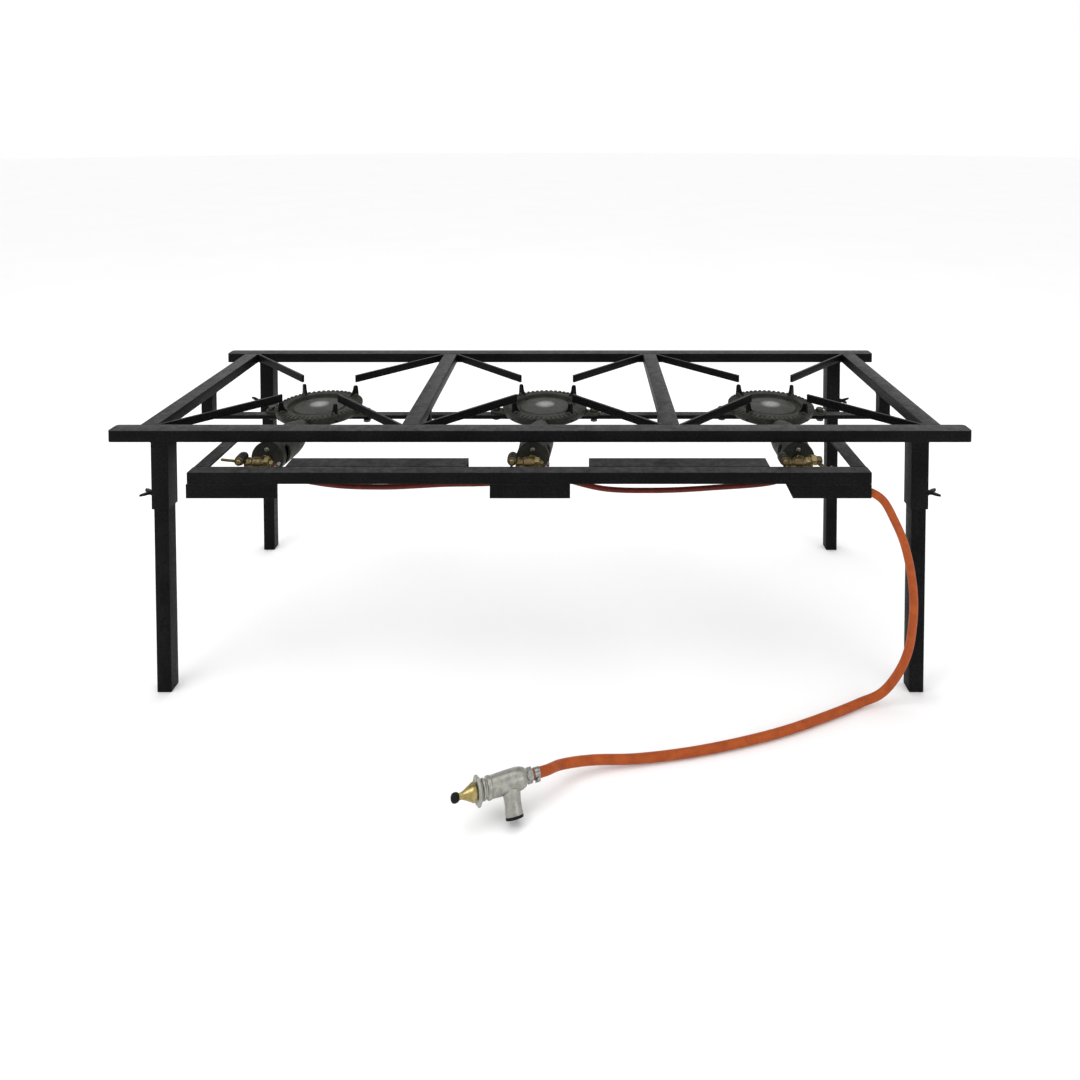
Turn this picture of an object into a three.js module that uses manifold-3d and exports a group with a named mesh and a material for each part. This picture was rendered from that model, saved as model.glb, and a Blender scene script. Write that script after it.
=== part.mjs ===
// Three-burner gas boiling table: a welded frame on four clamped telescopic legs, three
// cast-iron burners with brass cocks, and an LPG hose that ends in a cylinder regulator.
// Millimetres. +Z is up and -Y is the side the cook stands on. The origin is on the floor
// under the middle of the table's outline, so the floor is z = 0.
import * as THREE from 'three';
import { mergeVertices } from 'three/addons/utils/BufferGeometryUtils.js';
import Module from 'manifold-3d';

const wasm = await Module();
wasm.setup();

// ---- driving dimensions ----
const LENGTH = 1500;
const DEPTH = 500;
const HEIGHT = 465;
const GAP = 0.3;                       // between pieces that are welded or rest on each other

const RAIL = { width: 30, height: 20, wall: 2, endRadius: 6 };
const CROSS_X = [-693, -231, 231, 693];
const ARM = { thickness: 5, height: 15, reach: 160 * Math.SQRT2 };

const SOCKET = { size: 30, wall: 2.2, bottom: 327, x: 659.5 };
const LEG = { size: 25, wall: 1.5, foot: 3 };
const SCREW = { z: 350, shank: 2.9, hole: 3.2, boss: 6, bossDepth: 3 };

const BAYS = ['left', 'mid', 'right'];
const BAY_PITCH = 462;
const BURNER_X = BAYS.map((bay, i) => (i - 1) * BAY_PITCH - 2);
const BURNER_YAW = [-4.5, -3, -1.5].map((degrees) => THREE.MathUtils.degToRad(degrees));
const PAN = { radius: 86, top: 425, bottom: 405, wall: 4, ear: 112, sides: 40 };
const MIXER = { z: 407, front: -228, radius: 29, windows: 8 };

const BAR = { width: 20, thickness: 8, top: PAN.bottom - GAP };
const HANGER = { x: 690, size: 22 };
const CONTROL = { left: -590, right: 559, front: -296, depth: 25, height: 20, top: 412 };
const SIDE_BAR = { width: 25, thickness: 4, back: -82, left: -589, right: 533 };
const BACK_BAR = { y: -77, width: 20, thickness: 6, top: 386.7 };
const GUARD = { bottom: 368, thickness: 3 };
const SHIELD = { thickness: 2.5, depth: 34, lip: 15 };

const COCK = { y: -252, z: 410, barrel: 10, housingX: -33, housingZ: 418.5 };
const LEVER = { thickness: 2.5, width: 4.4, hub: 7.5, length: 31, y: -266.6 };
const LINK_HOSE = { radius: 4.5, sides: 10, steps: 34 };
const LINK_SAG_Z = [367.5, 361.5];

const HOSE = { radius: 7, sides: 12, steps: 52 };
const REGULATOR = { x: -76.2, y: -509.4, z: 46.6, heading: 24, tilt: 2.8, wheelStation: 39 };
const BRANCH = { station: 88, dip: 55, length: 43 };
const TAIL_STATION = 132;

// The table's own outline runs from the control rail's front to the rear rail's back.
const OUTLINE_SHIFT = -(CONTROL.front + DEPTH / 2) / 2;
const RAIL_Z = HEIGHT - RAIL.height / 2;
const UNDER_RAIL = HEIGHT - RAIL.height;
const INNER_Y = DEPTH / 2 - RAIL.width;

// ---- materials ----
const paint = { color: 0x262627, roughness: 0.5, metalness: 0.1 };
const castIron = { color: 0x3b3b34, roughness: 0.7, metalness: 0.4 };
const brass = { color: 0x9c8648, roughness: 0.35, metalness: 0.9 };
const zinc = { color: 0xb4b4ac, roughness: 0.35, metalness: 0.8 };
const redRubber = { color: 0x6b1f17, roughness: 0.6, metalness: 0 };
const orangeRubber = { color: 0xc0512a, roughness: 0.55, metalness: 0 };
const darkSteel = { color: 0x3a3a3c, roughness: 0.45, metalness: 0.7 };

const model = new THREE.Group();
const table = new THREE.Group();
table.position.y = OUTLINE_SHIFT;
model.add(table);

function add(name, geometry, finish, position = [0, 0, 0], parent = table) {
  const mesh = new THREE.Mesh(geometry, new THREE.MeshStandardMaterial(finish));
  mesh.name = name;
  mesh.position.set(...position);
  parent.add(mesh);
  return mesh;
}

// ---- joining and cutting ----
function toSolid(geometry) {
  const bare = geometry.clone();
  bare.deleteAttribute('normal');
  bare.deleteAttribute('uv');
  const merged = mergeVertices(bare, 1e-4);
  return new wasm.Manifold(new wasm.Mesh({
    numProp: 3,
    vertProperties: new Float32Array(merged.attributes.position.array),
    triVerts: new Uint32Array(merged.index.array),
  }));
}

function toGeometry(solid) {
  const mesh = solid.getMesh();
  const geometry = new THREE.BufferGeometry();
  geometry.setAttribute('position', new THREE.BufferAttribute(mesh.vertProperties, 3));
  geometry.setIndex(new THREE.BufferAttribute(mesh.triVerts, 1));
  geometry.computeVertexNormals();
  return geometry;
}

function join(...geometries) {
  return geometries.map(toSolid).reduce((whole, piece) => whole.add(piece));
}

function cut(solid, ...geometries) {
  return geometries.map(toSolid).reduce((left, tool) => left.subtract(tool), solid);
}

// ---- plain shapes ----
function box(sizeX, sizeY, sizeZ, at = [0, 0, 0]) {
  return new THREE.BoxGeometry(sizeX, sizeY, sizeZ).translate(...at);
}

// A cylinder or cone along 'x', 'y' or 'z', centred on `at`; radius1 is at the low end.
function round(axis, radius1, radius2, length, at = [0, 0, 0], sides = 24) {
  const geometry = new THREE.CylinderGeometry(radius2, radius1, length, sides);
  if (axis === 'x') geometry.rotateZ(-Math.PI / 2);
  if (axis === 'z') geometry.rotateX(Math.PI / 2);
  return geometry.translate(...at);
}

function polygon(points) {
  return new THREE.Shape(points.map(([x, y]) => new THREE.Vector2(x, y)));
}

function extrude(shape, depth, curveSegments = 8) {
  return new THREE.ExtrudeGeometry(shape, { depth, bevelEnabled: false, curveSegments });
}

// A solid of revolution about +Z from (radius, z) points that start and end on the axis.
function turned(points, sides = 32) {
  const profile = points.map(([radius, z]) => new THREE.Vector2(radius, z));
  return new THREE.LatheGeometry(profile, sides).rotateX(Math.PI / 2);
}

// A square or rectangular tube, open at both ends and centred on the origin.
function boxTube(axis, length, across, up, wall) {
  const outline = polygon([[-across / 2, -up / 2], [across / 2, -up / 2],
    [across / 2, up / 2], [-across / 2, up / 2]]);
  const inX = across / 2 - wall;
  const inY = up / 2 - wall;
  outline.holes.push(polygon([[-inX, -inY], [-inX, inY], [inX, inY], [inX, -inY]]));
  const geometry = extrude(outline, length).translate(0, 0, -length / 2);
  if (axis === 'x') geometry.rotateZ(Math.PI / 2).rotateY(Math.PI / 2);
  if (axis === 'y') geometry.rotateX(-Math.PI / 2);
  return geometry;
}

// A round section swept along a curve.
function hose(curve, { radius, sides, steps }) {
  const section = Array.from({ length: sides }, (_, i) => {
    const angle = i * 2 * Math.PI / sides;
    return [radius * Math.cos(angle), radius * Math.sin(angle)];
  });
  return new THREE.ExtrudeGeometry(polygon(section), { steps, extrudePath: curve, bevelEnabled: false });
}

// ---- top frame ----
// The long rails have round-cornered closed ends, and a vent hole under each end.
function longRail() {
  const plan = new THREE.Shape();
  const x = LENGTH / 2;
  const y = RAIL.width / 2;
  const r = RAIL.endRadius;
  plan.moveTo(-x + r, -y).lineTo(x - r, -y).absarc(x - r, -y + r, r, -Math.PI / 2, 0);
  plan.lineTo(x, y - r).absarc(x - r, y - r, r, 0, Math.PI / 2);
  plan.lineTo(-x + r, y).absarc(-x + r, y - r, r, Math.PI / 2, Math.PI);
  plan.lineTo(-x, -y + r).absarc(-x + r, -y + r, r, Math.PI, 1.5 * Math.PI);
  const skin = extrude(plan, RAIL.height, 4).translate(0, 0, -RAIL.height / 2);
  const hollow = box(LENGTH - 2 * r, RAIL.width - 2 * RAIL.wall, RAIL.height - 2 * RAIL.wall);
  const vents = [-1, 1].map((side) => round('z', 3, 3, RAIL.height / 2,
    [side * (LENGTH / 2 - 24), 0, -RAIL.height / 2], 8));
  return toGeometry(cut(toSolid(skin), hollow, ...vents));
}

add('front_rail', longRail(), paint, [0, -(DEPTH - RAIL.width) / 2, RAIL_Z]);
add('rear_rail', longRail(), paint, [0, (DEPTH - RAIL.width) / 2, RAIL_Z]);

const crossNames = ['left', 'mid_left', 'mid_right', 'right'];
CROSS_X.forEach((x, i) => {
  const tube = boxTube('y', 2 * (INNER_Y - GAP), RAIL.width, RAIL.height, RAIL.wall);
  add(`cross_rail_${crossNames[i]}`, tube, paint, [x, 0, RAIL_Z]);
});

// A pot arm is a flat bar on edge, mitred into the bay's corner and cut square at its free end.
function potArm() {
  const half = ARM.thickness / 2;
  const plan = polygon([[0, 0], [half, -half], [ARM.reach, -half], [ARM.reach, half], [half, half]]);
  return extrude(plan, ARM.height);
}

BAYS.forEach((bay, i) => {
  const bayX = (i - 1) * BAY_PITCH;
  const cornerX = BAY_PITCH / 2 - RAIL.width / 2 - GAP;
  const cornerY = INNER_Y - GAP;
  for (const [row, sy] of [['front', -1], ['rear', 1]]) {
    for (const [side, sx] of [['left', -1], ['right', 1]]) {
      const arm = add(`pot_arm_${bay}_${row}_${side}`, potArm(), paint,
        [bayX + sx * cornerX, sy * cornerY, HEIGHT - ARM.height]);
      arm.rotation.z = Math.atan2(-sy, -sx);
    }
  }
});

// ---- legs, sockets and clamp screws ----
// The socket carries a threaded boss on its outer side; `side` is -1 on the left.
function socket(side) {
  const length = UNDER_RAIL - GAP - SOCKET.bottom;
  const middle = (UNDER_RAIL - GAP + SOCKET.bottom) / 2;
  const wallX = side * SOCKET.size / 2;
  const bossAt = [wallX + side * (SCREW.bossDepth / 2 - 0.5), 0, SCREW.z - middle];
  const tube = boxTube('z', length, SOCKET.size, SOCKET.size, SOCKET.wall);
  const boss = round('x', SCREW.boss, SCREW.boss, SCREW.bossDepth + 1, bossAt, 16);
  const hole = round('x', SCREW.hole, SCREW.hole, 3 * SCREW.bossDepth, bossAt, 16);
  return { geometry: toGeometry(cut(join(tube, boss), hole)), middle };
}

// The inner leg is a square tube with a closed foot; its open top stops under the rail.
function leg() {
  const length = UNDER_RAIL - 2 * GAP;
  const bore = LEG.size - 2 * LEG.wall;
  const skin = box(LEG.size, LEG.size, length, [0, 0, length / 2]);
  return toGeometry(cut(toSolid(skin), box(bore, bore, length, [0, 0, length / 2 + LEG.foot])));
}

// A wing screw along +X with its tip at x = 0.
function wingScrew() {
  const collar = SOCKET.size / 2 - LEG.size / 2 + SCREW.bossDepth + 0.7;
  const shank = round('x', SCREW.shank, SCREW.shank, collar + 2, [(collar + 2) / 2, 0, 0], 12);
  const hub = round('x', 4.5, 5.5, 12, [collar + 6, 0, 0], 16);
  const wings = [-1, 1].map((side) => {
    const from = new THREE.Vector2(collar + 8, side * 1.5);
    const to = new THREE.Vector2(22.5, side * 8);
    const lean = Math.atan2(to.y - from.y, to.x - from.x);
    const plan = new THREE.Shape();
    plan.absarc(to.x, to.y, 4, lean - Math.PI / 2, lean + Math.PI / 2);
    plan.absarc(from.x, from.y, 3, lean + Math.PI / 2, lean + 1.5 * Math.PI);
    return extrude(plan, 3, 8).translate(0, 0, -1.5);
  });
  return toGeometry(join(shank, hub, ...wings));
}

// How far each wing screw happens to be turned.
const WING_TURN = { front_left: -5, front_right: 5, rear_left: 62, rear_right: -48 };

for (const [row, sy] of [['front', -1], ['rear', 1]]) {
  for (const [hand, sx] of [['left', -1], ['right', 1]]) {
    const corner = `${row}_${hand}`;
    const x = sx * SOCKET.x;
    const y = sy * (DEPTH / 2 - SOCKET.size / 2);
    const { geometry, middle } = socket(sx);
    add(`leg_socket_${corner}`, geometry, paint, [x, y, middle]);
    add(`leg_${corner}`, leg(), paint, [x, y, 0]);
    const screw = add(`wing_screw_${corner}`, wingScrew(), darkSteel,
      [x + sx * (LEG.size / 2 + GAP), y, SCREW.z]);
    screw.rotation.order = 'ZYX';
    screw.rotation.z = sx < 0 ? Math.PI : 0;
    screw.rotation.x = THREE.MathUtils.degToRad(WING_TURN[corner]);
  }
}

// ---- burner bar and its hangers ----
const barLength = 2 * HANGER.x + HANGER.size;
add('burner_bar', box(barLength, BAR.width, BAR.thickness), paint,
  [0, 0, BAR.top - BAR.thickness / 2]);
for (const [hand, sx] of [['left', -1], ['right', 1]]) {
  const length = UNDER_RAIL - BAR.top - 2 * GAP;
  add(`bar_hanger_${hand}`, boxTube('z', length, HANGER.size, HANGER.size, RAIL.wall), paint,
    [sx * HANGER.x, 0, (UNDER_RAIL + BAR.top) / 2]);
}

// ---- control frame ----
const controlMid = (CONTROL.left + CONTROL.right) / 2;
const controlLength = CONTROL.right - CONTROL.left;
const controlZ = CONTROL.top - CONTROL.height / 2;
const controlBackFace = CONTROL.front + CONTROL.depth;
add('control_rail', boxTube('x', controlLength, CONTROL.depth, CONTROL.height, RAIL.wall), paint,
  [controlMid, CONTROL.front + CONTROL.depth / 2, controlZ]);
// Each side bar is a flat bar laid back from the rail and bent down onto the back bar.
const sideProfile = polygon([
  [controlBackFace + GAP, CONTROL.top], [controlBackFace + GAP, CONTROL.top - SIDE_BAR.thickness],
  [SIDE_BAR.back - SIDE_BAR.thickness, CONTROL.top - SIDE_BAR.thickness],
  [SIDE_BAR.back - SIDE_BAR.thickness, BACK_BAR.top + GAP],
  [SIDE_BAR.back, BACK_BAR.top + GAP], [SIDE_BAR.back, CONTROL.top],
]);
for (const hand of ['left', 'right']) {
  const bar = extrude(sideProfile, SIDE_BAR.width).rotateX(Math.PI / 2).rotateZ(Math.PI / 2);
  add(`control_side_bar_${hand}`, bar, paint, [SIDE_BAR[hand], 0, 0]);
}
add('control_back_bar', box(controlLength, BACK_BAR.width, BACK_BAR.thickness), paint,
  [controlMid, BACK_BAR.y, BACK_BAR.top - BACK_BAR.thickness / 2]);
for (const [hand, x] of [['left', CROSS_X[1]], ['right', CROSS_X[2]]]) {
  const length = UNDER_RAIL - BACK_BAR.top - 2 * GAP;
  add(`control_hanger_${hand}`, boxTube('z', length, BACK_BAR.width, BACK_BAR.width, RAIL.wall),
    paint, [x, BACK_BAR.y, (UNDER_RAIL + BACK_BAR.top) / 2]);
}

// Guard plates hang from the rail's front edge, one in front of each cock. The last one's
// inner end is cut at a slant.
const GUARDS = [
  { left: -592, right: -439, slant: 0 },
  { left: -82, right: 53, slant: 0 },
  { left: 415, right: 559, slant: 12 },
];
GUARDS.forEach(({ left, right, slant }, i) => {
  const top = CONTROL.top - CONTROL.height - GAP;
  const outline = polygon([[left, top], [left + slant, GUARD.bottom], [right, GUARD.bottom],
    [right, top]]);
  add(`cock_guard_${BAYS[i]}`, extrude(outline, GUARD.thickness).rotateX(Math.PI / 2), paint,
    [0, CONTROL.front + GUARD.thickness, 0]);
});

// Heat shields cover the link hoses: a flat strip with a lip turned down along its back.
const SHIELD_SPANS = [[-434, -125], [85, 394]];
SHIELD_SPANS.forEach(([left, right], i) => {
  const { thickness, depth, lip } = SHIELD;
  const section = polygon([[0, 0], [0, -thickness], [depth - thickness, -thickness],
    [depth - thickness, -lip], [depth, -lip], [depth, 0]]);
  const strip = extrude(section, right - left).rotateX(Math.PI / 2).rotateZ(Math.PI / 2);
  add(`heat_shield_${['left', 'right'][i]}`, strip, paint,
    [left, controlBackFace + GAP, CONTROL.top]);
});

// ---- burners ----
// A burner is one hollow casting: a shallow pan with a raised ring and a centre disc, four
// lugs under the pot arms, two ears on the bar, and a mixing tube whose bell faces the cook.
function burner() {
  const { radius, top, bottom, wall } = PAN;
  const pan = turned([[0, bottom], [radius - 6, bottom], [radius, bottom + 6], [radius, top],
    [62, top], [60, top - 7], [48, top - 7], [46, top - 2], [0, top]], PAN.sides);
  const chamber = turned([[0, bottom + wall], [radius - 8, bottom + wall],
    [radius - wall, bottom + 9], [radius - wall, top - wall], [66, top - wall],
    [64, top - 10.5], [44, top - 10.5], [40, top - 5], [0, top - 4.5]], PAN.sides);
  const { radius: mixer, front } = MIXER;
  const tubeProfile = [[0, 22], [6, 24], [10.5, 34], [10.5, 60], [17, 86], [mixer, 134],
    [mixer + 1.5, 160], [mixer, -front], [0, -front]];
  const boreProfile = [[0, 34], [6.5, 36], [6.5, 60], [13, 88], [mixer - wall, 138],
    [mixer - wall, -front - wall], [0, -front - wall]];
  const alongTube = (profile) => turned(profile, 24).rotateX(Math.PI / 2)
    .translate(0, 0, MIXER.z);
  const lugShape = polygon([[58, top - 6], [66, top + 1], [73, top + 11], [74.5, top + 20],
    [75.5, top + 21], [81.5, top + 21], [83, top + 18], [84.5, top + 2], [84.5, top - 14]]);
  const lugs = [45, 135, 225, 315].map((degrees) => extrude(lugShape, 4)
    .translate(0, 0, -2).rotateX(Math.PI / 2).rotateZ(THREE.MathUtils.degToRad(degrees)));
  const windows = [0, 1].map((turn) => round('z', MIXER.windows, MIXER.windows, 2 * mixer + 8,
    [0, 0, 0], 16).rotateY(turn * Math.PI / 2).translate(0, front + 22, MIXER.z));
  const spud = round('y', 7.5, 7.5, 3 * wall, [0, front, MIXER.z], 16);
  const ears = box(2 * PAN.ear, 24, 6, [0, 0, bottom + 3]);
  const casting = join(pan, alongTube(tubeProfile), ears, ...lugs);
  return toGeometry(cut(casting, chamber, alongTube(boreProfile), spud, ...windows));
}

BAYS.forEach((bay, i) => {
  const casting = add(`burner_${bay}`, burner(), castIron, [BURNER_X[i], 0, 0]);
  casting.rotation.z = BURNER_YAW[i];
});

// ---- gas cocks ----
// Where the mixing tube's axis meets its front wall, seen from above.
function tubeMouth(i) {
  return new THREE.Vector2(0, MIXER.front).rotateAround(new THREE.Vector2(), BURNER_YAW[i])
    .add(new THREE.Vector2(BURNER_X[i], 0));
}

// A hose nozzle starts at `from` in the cock's own XZ plane and points along `degrees`.
const INLET = { from: [12, 0], degrees: -35, length: 26 };
const OUTLET = { from: [-12, -6], degrees: -140, length: 26 };
const SUPPLY_INLET = { from: [24, 5], degrees: -45, length: 36 };

function nozzleEnd({ from, degrees, length }, extra = 0) {
  const angle = THREE.MathUtils.degToRad(degrees);
  const reach = length + extra;
  return [from[0] + reach * Math.cos(angle), from[1] + reach * Math.sin(angle)];
}

function nozzle(port, radius) {
  const [endX, endZ] = nozzleEnd(port);
  return round('x', radius, radius - 0.8, port.length, [0, 0, 0], 12)
    .rotateY(-THREE.MathUtils.degToRad(port.degrees))
    .translate((port.from[0] + endX) / 2, 0, (port.from[1] + endZ) / 2);
}

// The cock body: a barrel along X, a plug housing on its left and an injector to the burner.
function cockBody(ports, mouth) {
  const housingAt = [COCK.housingX, -0.55, COCK.housingZ - COCK.z];
  const injectorLength = mouth.y + 6 - COCK.y;
  const pieces = [
    round('x', COCK.barrel, COCK.barrel, 42, [-7, 0, 0]),
    round('y', 9, 9, 25, housingAt),
    round('y', 6.8, 6.8, injectorLength, [0, injectorLength / 2, MIXER.z - COCK.z], 16),
    round('y', 10, 10, 8, [0, mouth.y - 5 - COCK.y, MIXER.z - COCK.z], 6),
    ...ports.map((port) => nozzle(port, 4.6)),
  ];
  if (ports.includes(SUPPLY_INLET)) {
    pieces.push(round('x', 6.5, 6.5, 24, [22, 0, SUPPLY_INLET.from[1]]));
  }
  return toGeometry(join(...pieces));
}

// The lever's disc turns on the housing's front; its blade points along `degrees`.
function lever(degrees) {
  const plan = new THREE.Shape();
  const half = LEVER.width / 2;
  const spread = Math.asin(half / LEVER.hub);
  plan.absarc(0, 0, LEVER.hub, spread, 2 * Math.PI - spread);
  plan.lineTo(LEVER.length - half, -half);
  plan.absarc(LEVER.length - half, 0, half, -Math.PI / 2, Math.PI / 2);
  return extrude(plan, LEVER.thickness, 12).rotateZ(THREE.MathUtils.degToRad(degrees))
    .rotateX(Math.PI / 2).translate(0, LEVER.thickness / 2, 0);
}

// The left lever points out along the rail, and the other two hang down.
const LEVER_DEGREES = [174, 264, 264];
BAYS.forEach((bay, i) => {
  const mouth = tubeMouth(i);
  const ports = [[INLET], [INLET, OUTLET], [SUPPLY_INLET, OUTLET]][i];
  add(`gas_cock_${bay}`, cockBody(ports, mouth), brass, [mouth.x, COCK.y, COCK.z]);
  add(`cock_lever_${bay}`, lever(LEVER_DEGREES[i]), darkSteel,
    [mouth.x + COCK.housingX, LEVER.y, COCK.housingZ]);
});

// ---- link hoses, each from one cock's outlet to the next cock's inlet ----
function linkHose(fromCock, toCock, sagZ) {
  const start = tubeMouth(fromCock).x;
  const end = tubeMouth(toCock).x;
  const outOf = [GAP, 14].map((extra) => nozzleEnd(INLET, extra));
  const into = [14, GAP].map((extra) => nozzleEnd(OUTLET, extra));
  const low = (start + end) / 2 - 25;
  const points = [
    ...outOf.map(([x, z]) => [start + x, COCK.z + z]),
    [low - 90, sagZ + 4], [low, sagZ], [low + 100, sagZ + 4.5],
    ...into.map(([x, z]) => [end + x, COCK.z + z]),
  ];
  return new THREE.CatmullRomCurve3(points.map(([x, z]) => new THREE.Vector3(x, COCK.y, z)));
}

add('link_hose_left', hose(linkHose(0, 1, LINK_SAG_Z[0]), LINK_HOSE), redRubber);
add('link_hose_right', hose(linkHose(1, 2, LINK_SAG_Z[1]), LINK_HOSE), redRubber);

// ---- regulator ----
// Its own frame: +X runs from the black nose to the hose tail, with x = 0 at the nose.
const regulator = new THREE.Group();
const regulatorPlace = new THREE.Group();
regulatorPlace.position.set(REGULATOR.x, REGULATOR.y, REGULATOR.z);
regulatorPlace.rotation.order = 'ZYX';
regulatorPlace.rotation.z = THREE.MathUtils.degToRad(REGULATOR.heading);
regulatorPlace.rotation.y = THREE.MathUtils.degToRad(REGULATOR.tilt);
regulator.position.x = -REGULATOR.wheelStation;
regulatorPlace.add(regulator);
table.add(regulatorPlace);

function alongX(profile, sides = 24) {
  return turned(profile, sides).rotateY(Math.PI / 2);
}

const wheelFront = REGULATOR.wheelStation - 2.5;
const bodyFront = REGULATOR.wheelStation + 2.5 + GAP;
function regulatorBody() {
  const barrel = alongX([[0, bodyFront], [12, bodyFront], [12, 45], [14.4, 47], [14.4, 53],
    [13.4, 54.5], [14.8, 58], [15, 104], [12, 111], [8.5, 113], [8.5, 121], [5, 122],
    [5, TAIL_STATION - GAP], [0, TAIL_STATION - GAP]]);
  const branch = round('y', 12, 12.6, BRANCH.length, [0, -BRANCH.length / 2, 0])
    .rotateX(THREE.MathUtils.degToRad(BRANCH.dip)).translate(BRANCH.station, 0, 0);
  return toGeometry(join(barrel, branch));
}

// The spigot and the handwheel are one turning piece: the hex screws into the cylinder valve.
function spigot() {
  const nose = alongX([[0, 0], [4.5, 0.6], [6.4, 3.6], [6.4, 8.4], [4.6, 12], [4.5, 15],
    [9.5, 26], [11.5, 29], [11.5, wheelFront - GAP], [0, wheelFront - GAP]]);
  const hex = round('x', 12.4, 12.4, 6, [wheelFront - GAP - 3, 0, 0], 6);
  return toGeometry(join(nose, hex));
}

// The handwheel: a thin disc with shallow finger scallops round its rim.
function handwheel() {
  const scallops = 8;
  const plan = new THREE.Shape();
  const steps = 64;
  for (let i = 0; i < steps; i += 1) {
    const angle = i * 2 * Math.PI / steps;
    const radius = 18.4 + 0.7 * Math.cos(scallops * angle);
    const place = [radius * Math.cos(angle), radius * Math.sin(angle)];
    if (i === 0) plan.moveTo(...place);
    else plan.lineTo(...place);
  }
  return extrude(plan, 5).translate(0, 0, -2.5).rotateY(Math.PI / 2);
}

add('regulator_body', regulatorBody(), zinc, [0, 0, 0], regulator);
add('regulator_spigot', spigot(), brass, [0, 0, 0], regulator);
add('regulator_handwheel', handwheel(), zinc, [REGULATOR.wheelStation, 0, 0], regulator);

// ---- supply hose ----
// It leaves the right cock, passes under the control frame, hangs in front of the right
// leg and lies on the floor as far as the regulator's tail.
table.updateMatrixWorld(true);
function regulatorPoint(station) {
  return table.worldToLocal(regulator.localToWorld(new THREE.Vector3(station, 0, 0)));
}

const rightMouth = tubeMouth(2).x;
const hoseStart = [GAP, 9].map((extra) => {
  const [x, z] = nozzleEnd(SUPPLY_INLET, extra);
  return new THREE.Vector3(rightMouth + x, COCK.y, COCK.z + z);
});
const HOSE_ROUTE = [
  [524, -264, 374.2], [545, -276, 374.6], [565, -283.5, 371.5],
  [582, -286, 360], [602, -286, 325], [618, -286, 288], [630, -286, 240],
  [636, -286, 190], [635, -286, 148], [628, -285, 98], [610, -284, 56],
  [584, -282, 23], [550, -284, 9], [500, -306, 7.5], [404, -346, 7.4],
  [317, -373, 7.4], [235, -392, 7.4], [155, -406, 9.5], [85, -421, 19.5],
  [40.5, -441, 29],
];
const hoseCurve = new THREE.CatmullRomCurve3([
  ...hoseStart,
  ...HOSE_ROUTE.map((place) => new THREE.Vector3(...place)),
  regulatorPoint(TAIL_STATION + 12),
  regulatorPoint(TAIL_STATION),
]);
add('supply_hose', hose(hoseCurve, HOSE), orangeRubber);

export default model;
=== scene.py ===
"""Three-burner gas boiling table on clamped telescopic legs, with its supply hose and regulator.

Shapes are worked out in millimetres, in the table's own frame, and written in metres. The frame's
painted bars and legs are the CAD nodes themselves. The other pieces replace CAD nodes or sit on them.
"""
import math

import bmesh
import bpy
from mathutils import Matrix, Vector, noise


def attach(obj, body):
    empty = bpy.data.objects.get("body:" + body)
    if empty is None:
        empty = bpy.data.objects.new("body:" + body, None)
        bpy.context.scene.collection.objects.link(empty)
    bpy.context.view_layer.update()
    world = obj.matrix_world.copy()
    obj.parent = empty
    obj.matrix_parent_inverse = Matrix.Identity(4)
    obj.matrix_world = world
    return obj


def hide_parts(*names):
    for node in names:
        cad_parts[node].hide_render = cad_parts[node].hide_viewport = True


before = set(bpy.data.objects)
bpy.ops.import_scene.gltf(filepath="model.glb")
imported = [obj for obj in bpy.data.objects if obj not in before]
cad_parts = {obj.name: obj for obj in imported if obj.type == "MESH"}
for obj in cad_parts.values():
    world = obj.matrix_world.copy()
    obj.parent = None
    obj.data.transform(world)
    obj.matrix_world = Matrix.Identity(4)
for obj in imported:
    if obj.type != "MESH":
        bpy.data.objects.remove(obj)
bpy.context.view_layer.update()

MM = 0.001
SHIFT_Y = 23.0                     # the table's own middle lies this far behind the origin
TABLE = Matrix.Translation((0, SHIFT_Y, 0))
BAYS = ["left", "mid", "right"]
CORNERS = ["front_left", "front_right", "rear_left", "rear_right"]
FRAME_BODY = "table_frame"

# places shared with the CAD, in millimetres
TABLE_TOP = 465.0
RAIL_UNDER = 445.0
BAY_PITCH = 462.0
BURNER_X = [BAY_PITCH * (i - 1) - 2 for i in range(3)]
YAW = [math.radians(degrees) for degrees in (-4.5, -3, -1.5)]
MIXER_Z = 407.0
MIXER_FRONT = -228.0
PAN_TOP = 425.0
PAN_BOTTOM = 405.0
COCK_Y = -252.0
COCK_Z = 410.0
HOUSING_X = -33.0      # from the cock's own centre
HOUSING_Z = 8.5
LEVER_Y = -266.6
SOCKET_X = 659.5
SOCKET_Y = 235.0
SOCKET_HALF = 15.0
SOCKET_INSIDE = 12.8      # from the socket's axis to its inner face
SCREW_Z = 350.0
GAP = 0.3      # between neighbouring CAD solids


# ---------------------------------------------------------------- camera, light and floor
def add_camera():
    """The photo's camera, as calibrated on the table."""
    data = bpy.data.cameras.new("camera")
    data.sensor_width = 36
    data.lens = 26.44
    data.shift_x = -0.0369
    data.shift_y = -0.3567
    camera = bpy.data.objects.new("camera", data)
    camera.location = (0.0693, -1.6068 + SHIFT_Y * MM, 0.9887)
    camera.rotation_euler = (math.radians(90 - 1.909), 0, 0)
    bpy.context.scene.collection.objects.link(camera)
    bpy.context.scene.camera = camera


def add_area_light(name, place, aim, size, power):
    data = bpy.data.lights.new(name, "AREA")
    data.shape = "RECTANGLE"
    data.size, data.size_y = size
    data.energy = power
    light = bpy.data.objects.new(name, data)
    light.location = place
    toward = Vector(aim) - Vector(place)
    light.rotation_euler = toward.to_track_quat("-Z", "Y").to_euler()
    bpy.context.scene.collection.objects.link(light)


def add_world(colour, strength):
    world = bpy.data.worlds.new("studio")
    world.use_nodes = True
    background = world.node_tree.nodes["Background"]
    background.inputs["Color"].default_value = (*colour, 1)
    background.inputs["Strength"].default_value = strength
    bpy.context.scene.world = world


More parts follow.
